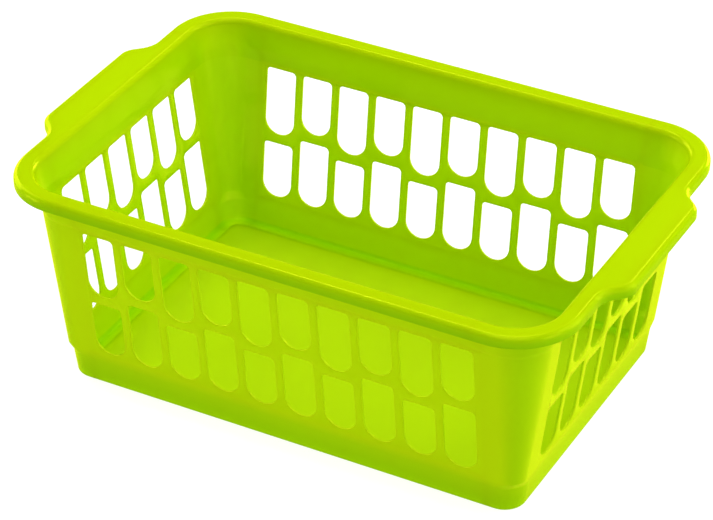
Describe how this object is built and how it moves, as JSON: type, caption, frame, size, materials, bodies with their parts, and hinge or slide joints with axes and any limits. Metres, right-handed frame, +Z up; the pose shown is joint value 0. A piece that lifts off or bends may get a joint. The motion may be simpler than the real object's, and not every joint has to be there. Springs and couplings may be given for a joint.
{
  "type": "storage basket",
  "caption": "Low rectangular moulded plastic basket with sloping perforated walls, round corners and a folded rim that widens into a grip at each end.",
  "frame": {"origin": "centre of the footprint, on the ground plane that the foot edge rests on", "axes": "+X along the long side, towards the right-hand grip; +Y towards the back wall; +Z up"},
  "size_m": [0.4028, 0.2632, 0.1467],
  "materials": {
    "green_polypropylene": "smooth moulded polypropylene, lime green, satin gloss"
  },
  "bodies": {
    "root": {"floor": "green_polypropylene", "base_band_front": "green_polypropylene", "panel_front": "green_polypropylene", "upper_band_front": "green_polypropylene", "rim_front": "green_polypropylene", "lip_front": "green_polypropylene", "base_band_back": "green_polypropylene", "panel_back": "green_polypropylene", "upper_band_back": "green_polypropylene", "rim_back": "green_polypropylene", "lip_back": "green_polypropylene", "base_band_left": "green_polypropylene", "panel_left": "green_polypropylene", "upper_band_left": "green_polypropylene", "handle_left": "green_polypropylene", "handle_lip_left": "green_polypropylene", "corner_front_left": "green_polypropylene", "rim_corner_front_left": "green_polypropylene", "lip_corner_front_left": "green_polypropylene", "corner_back_left": "green_polypropylene", "rim_corner_back_left": "green_polypropylene", "lip_corner_back_left": "green_polypropylene", "base_band_right": "green_polypropylene", "panel_right": "green_polypropylene", "upper_band_right": "green_polypropylene", "handle_right": "green_polypropylene", "handle_lip_right": "green_polypropylene", "corner_front_right": "green_polypropylene", "rim_corner_front_right": "green_polypropylene", "lip_corner_front_right": "green_polypropylene", "corner_back_right": "green_polypropylene", "rim_corner_back_right": "green_polypropylene", "lip_corner_back_right": "green_polypropylene"}
  },
  "joints": []
}
